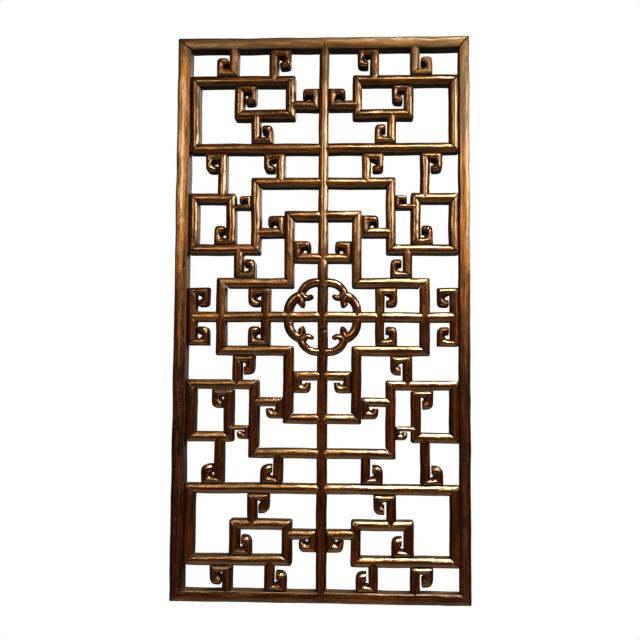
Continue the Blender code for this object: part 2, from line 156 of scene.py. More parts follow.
def hookPairs(sizes, length, head, throatShare):
    post, foot, span, rise = sizes["post"], sizes["foot"], sizes["span"], sizes["rise"]
    room = span - post
    throat = room * throatShare / 2
    middle = room * head["throat"] / 2
    across, high = post + middle, foot + middle
    chin = post + room * head["slit"]
    diagonal = throat * math.sqrt(0.5)
    pairs = [
        ((0, length), (post, length)),
        ((0, 0), (post, foot)),
        ((across, 0), (across, high - throat)),
        ((span, 0), (across + diagonal, high - diagonal)),
    ]
    for step in range(hookSteps + 1):
        angle = math.pi / 2 * step / hookSteps
        level, height = math.cos(angle), math.sin(angle)
        outer = (
            across + (span - across) * max(level, 0) ** (2 / head["roundness"]),
            high + (rise - high) * height ** (2 / head["roundness"]),
        )
        pairs.append((outer, (across + throat * level, high + throat * height)))
    pairs.append(((chin, rise - room * head["chin"]), (chin, high + throat)))
    return pairs


def turnedOver(item):
    rows = [(b, a) for a, b in item["rows"]]
    return {**item, "rows": rows, "behind": [(b, a) for a, b in item["behind"]]}


def joined(first, second):
    # second goes on where first ends: first gives up its last row and second its first
    both = {key: first[key][:-1] + second[key][1:] for key in ("rows", "behind", "tips")}
    shift = len(first["rows"]) - 2
    mitres = [i for i in first["mitres"] if i < len(first["rows"]) - 1]
    mitres += [i + shift for i in second["mitres"] if i > 0]
    return {**first, **both, "mitres": mitres}


def placed(item, flipX=1, flipZ=1, swap=False):
    moved = {}
    for key in ("rows", "behind"):
        moved[key] = []
        for row in item[key]:
            points = [(point[1], point[0]) if swap else (point[0], point[1]) for point in row]
            moved[key].append(tuple(Vector((x * flipX, z * flipZ)) for x, z in points))
    return {**item, **moved}


# Where the pieces stand, in pitches from the mullion or the centre bar
stations = {
    "topHook": 2.717, "headHook": 1.506, "returnPost": 2.532, "returnHook": 2.026, "shelfHook": 3.009,
    "yokeHook": 1.277, "scroll": 2.737, "sillHook": 2.501, "innerScroll": 1.683, "shelf": 3.529,
    "smallArm": 3.27, "sideArm": 2.5, "mullionArm": 1.74,
}
dropArmRise = 0.0158
railTenon = 0.006
at = {name: share * pitch for name, share in stations.items()}


def borderPlans():
    ends = (-fieldHalf - border["left"], fieldHalf + border["right"])
    heights = (-fieldBottom - border["bottom"], fieldTop + border["top"])
    inside = ((-fieldHalf, fieldHalf), (-fieldBottom, fieldTop))
    order = ((0, 0), (0, 1), (1, 1), (1, 0))
    outer = [Vector((ends[i], heights[k])) for i, k in order]
    inner = [Vector((inside[0][i], inside[1][k])) for i, k in order]
    plans = {}
    for i, name in enumerate(("left_stile", "top_rail", "right_stile", "bottom_rail")):
        j = (i + 1) % 4
        off = (outer[j] - outer[i]).normalized() * gap / math.sqrt(2)
        rows = [(outer[i] + off, inner[i] + off), (outer[j] - off, inner[j] - off)]
        plans[name] = [run(rows, [0, 1], **borderLook)]
    corner = (at["topHook"] - hook["post"] / 2, headLine + halfBar + gap)
    for name, (level, flipZ) in zip(("top_rail", "bottom_rail"), levels):
        hanging = hookRun(corner, right, up, clears[level] - gap + railTenon, hook, level=level)
        plans[name] += [placed(hanging, flipX, flipZ) for flipX in (-1, 1)]
    return plans


def crossingPlans():
    plans = {}
    ends = [(0, -fieldBottom - border["bottom"] / 2 + ease), (0, railLine - ease)]
    corner = (pitch - halfBar - gap, at["mullionArm"] - hook["post"] / 2)
    proud = {"front": strip["front"] - joint["crossingRise"], "back": strip["back"] + joint["setBack"]}
    plans["mullion"] = [stripRun(ends, **proud)]
    for level, flipZ in levels:
        arm = hookRun(corner, up, left, corner[0] - ease, armHook, halfBar, level)
        plans["mullion"] += [placed(arm, flipX, flipZ) for flipX in (-1, 1)]

    reach = stileLine - ease
    plans["centre_bar"] = [stripRun([(-reach, 0), (reach, 0)], tongues=[(0, halfBar), (1, halfBar)])]
    for side, flipZ in levels:
        away, back = (0, flipZ), (0, -flipZ)
        height = crossbarLine * flipZ
        crossbar = [(-stileLine, height), (stileLine, height)]
        plans[side + "_crossbar"] = [stripRun(crossbar, None, away, away)]
        height = 4 * pitch * flipZ
        yoke = stripRun([(-2 * pitch, height), (2 * pitch, height)], None, back, back)
        under = crossbarLine - halfBar - gap
        post = at["yokeHook"] - hook["post"] / 2
        hanging = hookRun((post, under), right, down, under - 4 * pitch - ease, hook, halfBar, side)
        plans[side + "_yoke_bar"] = [yoke] + [placed(hanging, flipX, flipZ) for flipX in (-1, 1)]
        height = 3 * pitch * flipZ
        plans[side + "_step_bar"] = [stripRun([(-pitch, height), (pitch, height)], None, back, back)]
    return plans


def doubleScroll(outerEdge, toward, height, flipX):
    # A post whose two ends turn off the same way and curl back to the middle
    top = hookRun((outerEdge, height), toward, down, height, hook)
    low = placed(top, 1, -1)
    count = len(top["rows"])
    both = {key: list(reversed(top[key][1:])) + low[key][1:] for key in ("rows", "behind", "tips")}
    return placed(run(both.pop("rows"), [count - 2, count - 1], **both), flipX)


def sidePlans():
    plans = {}
    for flipX, side in ((-1, "left"), (1, "right")):
        line = 3 * pitch * flipX
        inward = (-flipX, 0)
        loop = stripRun([(line, -pitch), (line, pitch)], None, inward, inward)
        loop["rises"] = [(Vector((line, 0)), joint["crossingRise"])]
        loop["back"] += joint["setBack"]
        plans[side + "_loop_post"] = [loop]
        height = pitch - halfBar - gap
        plans[side + "_end_scroll"] = [doubleScroll(fieldHalf - gap, left, height, flipX)]
        inner = doubleScroll(at["innerScroll"] - hook["post"] / 2, right, height, flipX)
        inner["rises"] = [(Vector((at["innerScroll"] * flipX, 0)), joint["crossingRise"])]
        inner["back"] += joint["setBack"]
        plans[side + "_inner_scroll"] = [inner]
    return plans


def quarterPlans(level):
    # Worked out for the upper right quarter, and mirrored afterwards
    plans = {}
    plans["corner_post"] = [stripRun([(stileLine, crossbarLine), (stileLine, headLine)], None, left, left)]
    plans["corner_head"] = [stripRun([(pitch, headLine), (stileLine, headLine)], None, down, down)]
    plans["corner_drop"] = [stripRun([(pitch, returnLine), (pitch, headLine)], None, right, right)]
    corner = (halfBar + gap, returnLine + dropArmRise - hook["post"] / 2)
    length = pitch - corner[0] - ease
    plans["corner_drop"].append(hookRun(corner, up, right, length, armHook, halfBar, level))

    line, top = at["returnPost"], headLine - halfBar - gap
    first = turnedOver(stripRun([(pitch, returnLine), (line, returnLine), (line, top)], None, up))
    turned = hookRun((line + halfBar, top), left, down, 0, runHook, None, level)
    plans["corner_return"] = [joined(first, turned)]
    corner = (at["returnHook"] + hook["post"] / 2, crossbarLine + halfBar + gap)
    length = returnLine - ease - corner[1]
    plans["corner_return"].append(hookRun(corner, left, up, length, hook, halfBar, level))

    under = headLine + halfBar + clears[level] - gap
    corner = (at["headHook"] + hook["post"] / 2, under)
    plans["corner_head"].append(hookRun(corner, left, down, under - headLine - ease, hook, halfBar, level))

    sill = 2 * pitch
    plans["side_drop"] = [stripRun([(sill, 4 * pitch), (sill, sill)], None, left, right)]
    plans["side_sill"] = [stripRun([(sill, sill), (stileLine, sill)], None, up, up)]
    plans["side_post"] = [stripRun([(stileLine, sill), (stileLine, at["shelf"])], None, left, left)]
    shelf = [(stileLine, at["shelf"]), (at["scroll"], at["shelf"])]
    plans["side_shelf"] = [stripRun(shelf, None, down, down)]
    foot = sill + halfBar + gap
    first = turnedOver(stripRun([(at["scroll"], at["shelf"]), (at["scroll"], foot)], None, right))
    turned = hookRun((at["scroll"] - halfBar, foot), right, up, 0, runHook, None, level)
    plans["side_scroll"] = [joined(first, turned)]
    corner = (sill + halfBar + gap, at["smallArm"] - smallHook["post"] / 2)
    length = at["scroll"] - ease - corner[0]
    small = hookRun(corner, up, right, length, smallHook, halfBar, level, crown=smallCrown)
    plans["side_scroll"].append(small)
    corner = (pitch + halfBar + gap, at["sideArm"] - hook["post"] / 2)
    plans["side_drop"].append(hookRun(corner, up, right, sill - ease - corner[0], armHook, halfBar, level))
    under = crossbarLine - halfBar - gap
    corner = (at["shelfHook"] - hook["post"] / 2, under)
    length = under - at["shelf"] - ease
    plans["side_shelf"].append(hookRun(corner, right, down, length, hook, halfBar, level))
    corner = (at["sillHook"] + hook["post"] / 2, pitch + halfBar + gap)
    plans["side_sill"].append(hookRun(corner, left, up, sill - ease - corner[1], hook, halfBar, level))
    plans["step"] = [stripRun([(pitch, 3 * pitch), (pitch, pitch), (3 * pitch, pitch)], None, left, down)]
    return plans


ring = {
    "reach": 0.0655, "strip": 0.012, "lobeRadius": 0.527, "lobeOffset": 0.153, "lobeSteps": 6, "lobeEnd": 8,
    "shoulder": 0.29, "clawSteps": 9, "clawRound": 4, "clawOpen": 0.3, "clawBlunt": 18,
}
topClaw = {"width": 0.0126, "across": 0.372, "up": 0.622, "outer": 0.172, "throat": 0.064, "turn": 134}
sideClaw = {"width": 0.0148, "across": 0.372, "up": 0.706, "outer": 0.25, "throat": 0.069, "turn": 112}


def lobeRun(claw):
    # The lobe over the centre, from the mullion to its right-hand claw, then mirrored
    reach = ring["reach"]
    radius, offset = reach * ring["lobeRadius"], reach * ring["lobeOffset"]
    centre = Vector((offset, reach - radius))
    hollow = Vector((reach * claw["across"], reach * claw["up"]))
    throat, outer = reach * claw["throat"], reach * claw["outer"]
    rows = []
    for step in range(ring["lobeSteps"] + 1):
        angle = math.pi / 2 + (math.radians(ring["lobeEnd"]) - math.pi / 2) * step / ring["lobeSteps"]
        ray = Vector((math.cos(angle), math.sin(angle)))
        rows.append((centre + ray * radius, centre + ray * (radius - claw["width"])))
    rows[-1] = (rows[-1][0], hollow + Vector((throat, 0)))
    for step in range(1, ring["clawSteps"] + 1):
        share = step / ring["clawSteps"]
        angle = -math.radians(claw["turn"]) * share
        ray = Vector((math.cos(angle), math.sin(angle)))
        away = lerp(outer, reach * ring["shoulder"], (1 - share) ** 2)
        rows.append((hollow + ray * away, hollow + ray * throat))
    middle, half = (outer + throat) / 2, (outer - throat) / 2
    for step in range(1, ring["clawRound"] + 1):
        share = step / (ring["clawRound"] + ring["clawOpen"])
        angle = -math.radians(claw["turn"] + ring["clawBlunt"] * share)
        ray = Vector((math.cos(angle), math.sin(angle)))
        narrow = half * math.sqrt(1 - share ** 2)
        rows.append((hollow + ray * (middle + narrow), hollow + ray * (middle - narrow)))
    mirrored = [tuple(Vector((-point.x, point.y)) for point in row) for row in reversed(rows)]
    return run(mirrored + rows)


plans = {**borderPlans(), **crossingPlans(), **sidePlans()}
for flipX, side in ((-1, "left"), (1, "right")):
    for level, flipZ in levels:
        for name, items in quarterPlans(level).items():
            plans[f"{level}_{side}_{name}"] = [placed(item, flipX, flipZ) for item in items]
lobe = lobeRun(topClaw)
sideLobe = lobeRun(sideClaw)
sideLobe["front"] += joint["setBack"]
sideLobe["back"] -= joint["setBack"]
plans["ring"] = [placed(lobe), placed(lobe, 1, -1)]
plans["ring"] += [placed(sideLobe, flipX, 1, True) for flipX in (1, -1)]
print("plans drawn:", len(plans))


# Joint lines, seen from the front: mitres, the Vs of the posts, and the crossings
jointLines = []


def markJoint(a, b):
    jointLines.append((Vector(a), Vector(b)))


def markTongue(first, second, half):
    # first is the end row, at the ridge of the strip that it runs into
    middle = (first[0] + first[1]) / 2
    heading = (middle - (second[0] + second[1]) / 2).normalized()
    apex = middle + heading * ease
    for point in first:
        markJoint(point - heading * (half - ease), apex)


def markCrossing(x, z, overHalf, underHalf, acrossX=True, apexAt=joint["crossingApex"]):
    # The strip underneath ends in a V on each side of the one that runs on
    for side in (-1, 1):
        for edge in (-1, 1):
            base = (overHalf * side, underHalf * edge)
            apex = (overHalf * apexAt * side, 0)
            if not acrossX:
                base, apex = base[::-1], apex[::-1]
            markJoint((x + base[0], z + base[1]), (x + apex[0], z + apex[1]))


for items in plans.values():
    for item in items:
        rows = item["rows"]
        for i in item["mitres"]:
            markJoint(*rows[i])
        for i, half in item["tongues"]:
            row = rows[i] if i == 0 else rows[-1]
            markTongue(row, rows[1] if i == 0 else rows[-2], half)
for height in (crossbarLine, 4 * pitch, 3 * pitch, 0):
    for flipZ in (1, -1):
        markCrossing(0, height * flipZ, halfBar, halfBar)
ringLine = ring["reach"] - ring["strip"] / 2
for flip in (1, -1):
    markCrossing(0, ringLine * flip, halfBar, ring["strip"] / 2)
    markCrossing(ringLine * flip, 0, halfBar, ring["strip"] / 2, False, 0.0)
    markCrossing(3 * pitch * flip, 0, halfBar, halfBar)
    markCrossing(at["innerScroll"] * flip, 0, hook["post"] / 2, halfBar)

lineMesh = bpy.data.meshes.new("jointLines")
points = [(p.x, 0, p.y - railLine) for line in jointLines for p in line]
lineMesh.from_pydata(points, [(i, i + 1) for i in range(0, len(points), 2)], [])
lineObject = bpy.data.objects.new("jointLines", lineMesh)
bpy.context.scene.collection.objects.link(lineObject)
print("joint lines:", len(jointLines))


# Node helpers, for geometry and for materials

def addNode(tree, kind, links=None, **settings):
    made = tree.nodes.new(kind)
    for key, value in settings.items():
        setattr(made, key, value)
    for socket, source in (links or {}).items():
        if isinstance(source, bpy.types.NodeSocket):
            tree.links.new(source, made.inputs[socket])
        else:
            made.inputs[socket].default_value = source
    return made


def calc(tree, operation, *sources, clamp=False):
    links = dict(enumerate(sources))
    return addNode(tree, "ShaderNodeMath", links, operation=operation, use_clamp=clamp).outputs[0]


def add(tree, *sources, **how):
    return calc(tree, "ADD", *sources, **how)


def minus(tree, *sources, **how):
    return calc(tree, "SUBTRACT", *sources, **how)


def times(tree, *sources):
    return calc(tree, "MULTIPLY", *sources)


def larger(tree, *sources):
    return calc(tree, "MAXIMUM", *sources)


def vectorCalc(tree, operation, *sources):
    links = dict(enumerate(sources))
    if operation == "SCALE":
        links = {0: sources[0], "Scale": sources[1]}
    made = addNode(tree, "ShaderNodeVectorMath", links, operation=operation)
    return made.outputs["Value" if operation == "LENGTH" else "Vector"]


def shifted(tree, vector, offset):
    return vectorCalc(tree, "ADD", vector, offset)


def scaled(tree, vector, factor):
    return vectorCalc(tree, "SCALE", vector, factor)


def perAxis(tree, vector, factors):
    return vectorCalc(tree, "MULTIPLY", vector, factors)


def ranged(tree, value, low, high, outLow=0.0, outHigh=1.0, smooth=True):
    kind = "SMOOTHSTEP" if smooth else "LINEAR"
    links = {0: value, 1: low, 2: high, 3: outLow, 4: outHigh}
    return addNode(tree, "ShaderNodeMapRange", links, interpolation_type=kind).outputs[0]


def noise(tree, vector, scale, detail=2.0, roughness=0.5, distortion=0.0):
    links = {"Vector": vector, "Scale": scale, "Detail": detail}
    links.update({"Roughness": roughness, "Distortion": distortion})
    return addNode(tree, "ShaderNodeTexNoise", links)


def alongY(tree, y):
    return addNode(tree, "ShaderNodeCombineXYZ", {"Y": y}).outputs[0]


# Geometry nodes: a plan of edge rows becomes a moulded, hand-planed strip
moulding = {
    "Cells": 2,
    "Wander": 0.0007,
    "Wander Size": 0.06,
    "Planing": 0.00048,
    "Planing Size": 0.02,
    "Groove Depth": 0.0008,
    "Groove Width": 0.001,
    "Grime Width": 0.0024,
    "Tip Drop": 0.0055,
    "Ridge": 0.5,
    "Ridge Softness": 0.16,
}


handWork = {"dentStretch": (0.45, 1.6, 1.0), "noiseReach": 4.0, "wornBand": 0.0025, "wornShare": 0.4}
mergeDistance = 0.00001


def mouldedStripTree():
    tree = bpy.data.node_groups.new("mouldedStrip", "GeometryNodeTree")
    tree.is_modifier = True
    face = tree.interface
    face.new_socket("Geometry", in_out="INPUT", socket_type="NodeSocketGeometry")
    for name, value in moulding.items():
        kind = "NodeSocketInt" if isinstance(value, int) else "NodeSocketFloat"
        face.new_socket(name, in_out="INPUT", socket_type=kind).default_value = value
    face.new_socket("Joint Lines", in_out="INPUT", socket_type="NodeSocketObject")
    face.new_socket("Wood", in_out="INPUT", socket_type="NodeSocketMaterial")
    face.new_socket("Geometry", in_out="OUTPUT", socket_type="NodeSocketGeometry")
    given = tree.nodes.new("NodeGroupInput").outputs

    def field(name, kind="FLOAT"):
        made = addNode(tree, "GeometryNodeInputNamedAttribute", {"Name": name}, data_type=kind)
        return made.outputs["Attribute"]

    def store(geometry, name, value, kind="FLOAT", selection=True):
        links = {"Geometry": geometry, "Selection": selection, "Name": name, "Value": value}
        made = addNode(tree, "GeometryNodeStoreNamedAttribute", links, data_type=kind, domain="POINT")
        return made.outputs[0]

    def moved(geometry, position):
        links = {"Geometry": geometry, "Position": position}
        return addNode(tree, "GeometryNodeSetPosition", links).outputs[0]

    def extruded(geometry, edges):
        links = {"Mesh": geometry, "Selection": edges, "Offset Scale": 0.0}
        return addNode(tree, "GeometryNodeExtrudeMesh", links, mode="EDGES").outputs

    cells = {"Mesh": given["Geometry"], "Level": given["Cells"]}
    fine = addNode(tree, "GeometryNodeSubdivideMesh", cells).outputs[0]

    # Across the strip, points close up towards the edges, where the moulding turns down
    angle = times(tree, field("across"), math.pi / 2)
    power = calc(tree, "DIVIDE", 2.0, field("roundness"))
    size = calc(tree, "POWER", calc(tree, "ABSOLUTE", calc(tree, "SINE", angle)), power)
    t = times(tree, size, calc(tree, "SIGN", angle))
    level = calc(tree, "POWER", calc(tree, "ABSOLUTE", calc(tree, "COSINE", angle)), power)
    # Two flanks that meet in a soft ridge, and round over to the sides
    softness = given["Ridge Softness"]
    soft = calc(tree, "SQRT", add(tree, times(tree, t, t), calc(tree, "POWER", softness, 2.0)))
    gable = times(tree, minus(tree, soft, softness), given["Ridge"])
    rounding = times(tree, minus(tree, 1.0, level), minus(tree, 1.0, given["Ridge"]))
    drop = times(tree, field("crown"), add(tree, gable, rounding))
    half, spread = field("half", "FLOAT_VECTOR"), field("spread", "FLOAT_VECTOR")
    flat = shifted(tree, field("mid", "FLOAT_VECTOR"), scaled(tree, half, t))

    # The strips wander a little, as hand work does: one field for all of them keeps the joints closed
    bends = noise(tree, flat, calc(tree, "DIVIDE", 1.0, given["Wander Size"]), 1.0).outputs[1]
    centred = vectorCalc(tree, "SUBTRACT", bends, (0.5, 0.5, 0.5))
    reach = times(tree, given["Wander"], handWork["noiseReach"])
    plan = shifted(tree, flat, perAxis(tree, scaled(tree, centred, reach), (1, 0, 1)))

    lines = addNode(tree, "GeometryNodeObjectInfo", {"Object": given["Joint Lines"]}).outputs["Geometry"]
    near = addNode(tree, "GeometryNodeProximity", {0: lines}, target_element="EDGES")
    sample = [socket for socket in near.inputs if socket.name in ("Sample Position", "Source Position")][0]
    tree.links.new(flat, sample)
    distance = near.outputs["Distance"]
    groove = ranged(tree, distance, 0.0, given["Groove Width"], 1.0, 0.0)
    groove = times(tree, groove, given["Groove Depth"])

    # Plane marks and old dents on the front
    stretched = perAxis(tree, field("grain", "FLOAT_VECTOR"), handWork["dentStretch"])
    dents = noise(tree, stretched, calc(tree, "DIVIDE", 1.0, given["Planing Size"]), 3.0, 0.6).outputs[0]
    reach = times(tree, given["Planing"], handWork["noiseReach"])
    planing = times(tree, minus(tree, dents, 0.5), reach)
    y = add(tree, minus(tree, field("front"), field("rise")), drop)
    blunt = minus(tree, 1.0, calc(tree, "POWER", field("tip"), 2.0), clamp=True)
    blunt = minus(tree, 1.0, calc(tree, "SQRT", blunt))
    y = add(tree, y, times(tree, blunt, given["Tip Drop"]))
    y = add(tree, add(tree, y, groove), planing)
    frontAt = shifted(tree, plan, alongY(tree, y))
    backAt = shifted(tree, plan, alongY(tree, field("back")))

    # What the material reads
    width = vectorCalc(tree, "LENGTH", half)
    links = {"X": field("along"), "Y": times(tree, width, t), "Z": field("seed")}
    grainAt = addNode(tree, "ShaderNodeCombineXYZ", links).outputs[0]
    fine = store(fine, "grain", grainAt, "FLOAT_VECTOR")
    fine = store(fine, "turn", t)
    # Painted shade along the joint lines, which the material darkens
    fine = store(fine, "grime", ranged(tree, distance, 0.0, given["Grime Width"], 1.0, 0.0))
    fine = store(fine, "side", 0.0)

    front = moved(fine, frontAt)
    back = moved(fine, shifted(tree, backAt, spread))
    back = store(addNode(tree, "GeometryNodeFlipFaces", {"Mesh": back}).outputs[0], "side", 1.0)

    # Sides: a narrow band that is worn with the front, then the rest of the depth
    count = addNode(tree, "GeometryNodeInputMeshEdgeNeighbors").outputs[0]
    edge = addNode(tree, "FunctionNodeCompare", {2: count, 3: 1}, data_type="INT", operation="EQUAL")
    band = extruded(front, edge.outputs[0])
    slope = shifted(tree, scaled(tree, spread, handWork["wornShare"]), (0, handWork["wornBand"], 0))
    links = {"Geometry": band["Mesh"], "Selection": band["Top"], "Offset": slope}
    walls = addNode(tree, "GeometryNodeSetPosition", links).outputs[0]
    walls = store(walls, "side", 1.0, selection=band["Top"])
    deep = extruded(walls, band["Top"])
    here = addNode(tree, "GeometryNodeInputPosition").outputs[0]
    behind = shifted(tree, perAxis(tree, here, (1, 0, 1)), alongY(tree, field("back")))
    behind = shifted(tree, behind, scaled(tree, spread, 1 - handWork["wornShare"]))
    links = {"Geometry": deep["Mesh"], "Selection": deep["Top"], "Position": behind}
    walls = addNode(tree, "GeometryNodeSetPosition", links).outputs[0]

    shell = addNode(tree, "GeometryNodeJoinGeometry")
    tree.links.new(walls, shell.inputs[0])
    tree.links.new(back, shell.inputs[0])
    links = {"Geometry": shell.outputs[0], "Distance": mergeDistance}
    merged = addNode(tree, "GeometryNodeMergeByDistance", links).outputs[0]
    real = addNode(tree, "GeometryNodeRealizeInstances", {"Geometry": merged}).outputs[0]
    links = {"Geometry": real, "Material": given["Wood"]}
    done = addNode(tree, "GeometryNodeSetMaterial", links).outputs[0]
    tree.links.new(done, tree.nodes.new("NodeGroupOutput").inputs[0])
    return tree


cornerShares, cornerFan = (0.5, 0.75, 1.0), 0.2
planStep = 0.013  # longest quad of a plan, before it is divided
riseStep = 0.03  # shortest quad that a crossing divides
riseMargin = 0.01
columns = (-1, -0.5, 0, 0.5, 1)
seeds = {"letter": 0.731, "piece": 3.17, "repeat": 40}  # each strip gets its own stretch of grain


def cornered(item):
    # Wear has rounded the outer point of each mitre
    radius = item["corner"]
    last = len(item["rows"]) - 1
    made = {"rows": [], "behind": [], "tips": []}

    def keep(row, i):
        off = [p - q for p, q in zip(item["behind"][i], item["rows"][i])]
        made["rows"].append(row)
        made["behind"].append(tuple(p + q for p, q in zip(row, off)))
        made["tips"].append(item["tips"][i])

    for i, row in enumerate(item["rows"]):
        if i not in item["mitres"]:
            keep(row, i)
            continue
        beside = item["rows"][i + 1 if i < last else i - 1]
        k = 0 if (row[0] - beside[0]).length > (row[1] - beside[1]).length else 1
        outer, inner = row[k], row[1 - k]
        arcs = {}
        for step in (-1, 1):
            if not 0 <= i + step <= last:
                continue
            way = (item["rows"][i + step][k] - outer).normalized()
            inwards = inner - outer
            inwards = (inwards - way * inwards.dot(way)).normalized()
            centre = outer + (way + inwards) * radius
            arcs[step] = []
            for share in cornerShares:
                angle = math.pi / 2 * share
                point = centre - (way * math.cos(angle) + inwards * math.sin(angle)) * radius
                beneath = inner + way * radius * (share - cornerShares[0]) * cornerFan
                arcs[step].append((point, beneath) if k == 0 else (beneath, point))
        rounded = list(reversed(arcs.get(-1, []))) or arcs[1][:1]
        for point in rounded + arcs.get(1, [])[1:]:
            keep(point, i)
    return {**item, **made}


def filledRows(item):
    # Adds rows so that no quad is long, and gives each row how far it stands proud at a crossing
    rows, behind, tips = item["rows"], item["behind"], item["tips"]
    stops, spreads, tipShares = [], [], []
    for i in range(len(rows) - 1):
        (a, b), (c, d) = rows[i], rows[i + 1]
        cuts = {0.0}
        parts = math.ceil(max((c - a).length, (d - b).length) / planStep)
        cuts.update(k / max(1, parts) for k in range(parts))
        for point, rise in item["rises"]:
            middle, way = (a + b) / 2, (c + d) / 2 - (a + b) / 2
            if rise and way.length > riseStep:
                share = (point - middle).dot(way) / way.length_squared
                reach = joint["crossingReach"] / way.length
                places = (share - reach, share, share + reach)
                cuts.update(s for s in places if riseMargin < s < 1 - riseMargin)
        for share in sorted(cuts):
            stops.append((lerp(a, c, share), lerp(b, d, share)))
            wide = [lerp(behind[i][k], behind[i + 1][k], share) - stops[-1][k] for k in (0, 1)]
            spreads.append(wide)
            tipShares.append(lerp(tips[i], tips[i + 1], share))
    stops.append(rows[-1])
    spreads.append([behind[-1][k] - rows[-1][k] for k in (0, 1)])
    tipShares.append(tips[-1])
    rises = []
    for a, b in stops:
        away = []
        for point, rise in item["rises"]:
            share = 1 - ((a + b) / 2 - point).length / joint["crossingReach"]
            away.append(rise * max(0, share))
        rises.append(max(away, default=0) + item["rise"])
    return stops, spreads, tipShares, rises


def planMesh(name, items):
    floats = ("across", "along", "crown", "front", "back", "roundness", "rise", "tip", "seed")
    values = {key: [] for key in floats}
    vectors = {"mid": [], "half": [], "grain": [], "spread": []}
    points, quads = [], []
    for number, item in enumerate(items):
        rows, spreads, tips, rises = filledRows(cornered(item))
        along = 0.0
        start = len(points)
        letters = sum(ord(letter) for letter in name)
        seed = (letters * seeds["letter"] + number * seeds["piece"]) % seeds["repeat"]
        turned = 0.0
        for i, (a, b) in enumerate(rows):
            middle, half = (a + b) / 2, (b - a) / 2
            if i:
                along += (middle - (rows[i - 1][0] + rows[i - 1][1]) / 2).length
                before = rows[i - 1]
                corners = (before[0], before[1], b, a)
                turned += sum(p.x * q.y - q.x * p.y for p, q in zip(corners, corners[1:] + corners[:1]))
            for t in columns:
                p = middle + half * t
                points.append((p.x, 0, p.y - railLine))
                vectors["mid"].append((middle.x, 0, middle.y - railLine))
                vectors["half"].append((half.x, 0, half.y))
                vectors["grain"].append((along + seed, half.length * t, seed))
                wide = spreads[i][0] if t < 0 else spreads[i][1]
                vectors["spread"].append((wide.x * abs(t), 0, wide.y * abs(t)))
                own = {"across": t, "along": along + seed, "rise": rises[i], "tip": tips[i], "seed": seed}
                for key, value in own.items():
                    values[key].append(value)
                for key in ("crown", "front", "back", "roundness"):
                    values[key].append(item[key])
        for i in range(len(rows) - 1):
            for j in range(len(columns) - 1):
                k = start + i * len(columns) + j
                quad = (k, k + 1, k + len(columns) + 1, k + len(columns))
                quads.append(quad if turned > 0 else quad[::-1])
    mesh = bpy.data.meshes.new(name)
    mesh.from_pydata(points, [], quads)
    for key, numbers in values.items():
        mesh.attributes.new(key, "FLOAT", "POINT").data.foreach_set("value", numbers)
    for key, numbers in vectors.items():
        flatNumbers = [number for vector in numbers for number in vector]
        mesh.attributes.new(key, "FLOAT_VECTOR", "POINT").data.foreach_set("vector", flatNumbers)
    return mesh


creaseAngle = 0.5
weldDistance = 1e-6


def tidyShell(mesh):
    shell = bmesh.new()
    shell.from_mesh(mesh)
    bmesh.ops.remove_doubles(shell, verts=shell.verts, dist=weldDistance)
    bmesh.ops.dissolve_degenerate(shell, edges=shell.edges, dist=weldDistance)
    bmesh.ops.recalc_face_normals(shell, faces=shell.faces)
    loose = 0
    for edge in shell.edges:
        if len(edge.link_faces) == 2:
            edge.smooth = edge.calc_face_angle(0) < creaseAngle
        else:
            loose += 1
    for item in shell.faces:
        item.smooth = True
    shell.to_mesh(mesh)
    shell.free()
    return loose


# Aged, waxed wood. Colours are linear; each finish has its own dictionary
woodLooks = {
    "stripWood": {
        "dark": (0.009, 0.0026, 0.0005), "middle": (0.04, 0.0128, 0.0016), "light": (0.13, 0.053, 0.0085),
        "lowShadeTone": (0.8, 0.66, 0.55), "sheen": (1, 0.79, 0.49),
        "roughness": 0.22, "fibre": 0.9, "worn": 0.35,
    },
    "frameWood": {
        "dark": (0.01, 0.0034, 0.0008), "middle": (0.07, 0.0245, 0.0036), "light": (0.28, 0.13, 0.028),
        "lowShadeTone": (0.3, 0.17, 0.11), "sheen": (1, 0.82, 0.56),
        "roughness": 0.28, "fibre": 1.2, "worn": 0.5,
    },
    "carvedWood": {
        "dark": (0.009, 0.0026, 0.0005), "middle": (0.04, 0.0125, 0.0016), "light": (0.13, 0.052, 0.0083),
        "lowShadeTone": (0.85, 0.7, 0.58), "sheen": (1, 0.79, 0.49),
        "roughness": 0.2, "fibre": 0.8, "worn": 0.3,
    },
}
marks = [
    {"at": (-0.2364, -0.3867), "reach": (0.0036, 0.0062), "share": 0.85},
    {"at": (-0.2363, -0.6895), "reach": (0.002, 0.0042), "share": 0.8},
    {"at": (-0.2319, -0.7477), "reach": (0.0026, 0.0032), "share": 0.8},
    {"at": (0.2423, -0.0309), "reach": (0.0028, 0.0075), "share": 0.75},
    {"at": (0.2395, -0.105), "reach": (0.0012, 0.075), "share": 0.7},
    {"at": (0.241, -0.8095), "reach": (0.005, 0.008), "share": 0.5},
    {"at": (0.0013, -0.495), "reach": (0.0062, 0.0034), "share": 0.9},
    {"at": (-0.0918, -0.3267), "reach": (0.0022, 0.0018), "share": 0.9},
    {"at": (-0.153, -0.0349), "reach": (0.0013, 0.0013), "share": 1.0},
    {"at": (-0.1984, -0.0665), "reach": (0.008, 0.0011), "share": 0.7},
    {"at": (-0.1458, -0.108), "reach": (0.0028, 0.0036), "share": 0.7},
    {"at": (-0.2381, -0.0827), "reach": (0.0013, 0.0022), "share": 0.9},
    {"at": (-0.241, -0.1161), "reach": (0.0012, 0.0018), "share": 0.9},
    {"at": (-0.2355, -0.1337), "reach": (0.0013, 0.0022), "share": 0.9},
]
# brownRail is painted shade on the left of the top rail
tones = {
    "brownRail": {"x": (0.07, -0.06), "z": (-0.03, -0.012), "colour": (0.02, 0.0105, 0.004), "share": 0.75},
    "paleCorner": {"x": (-0.02, 0.2), "z": (-0.3, -0.04), "colour": (0.1, 0.079, 0.042), "share": 0.6},
}
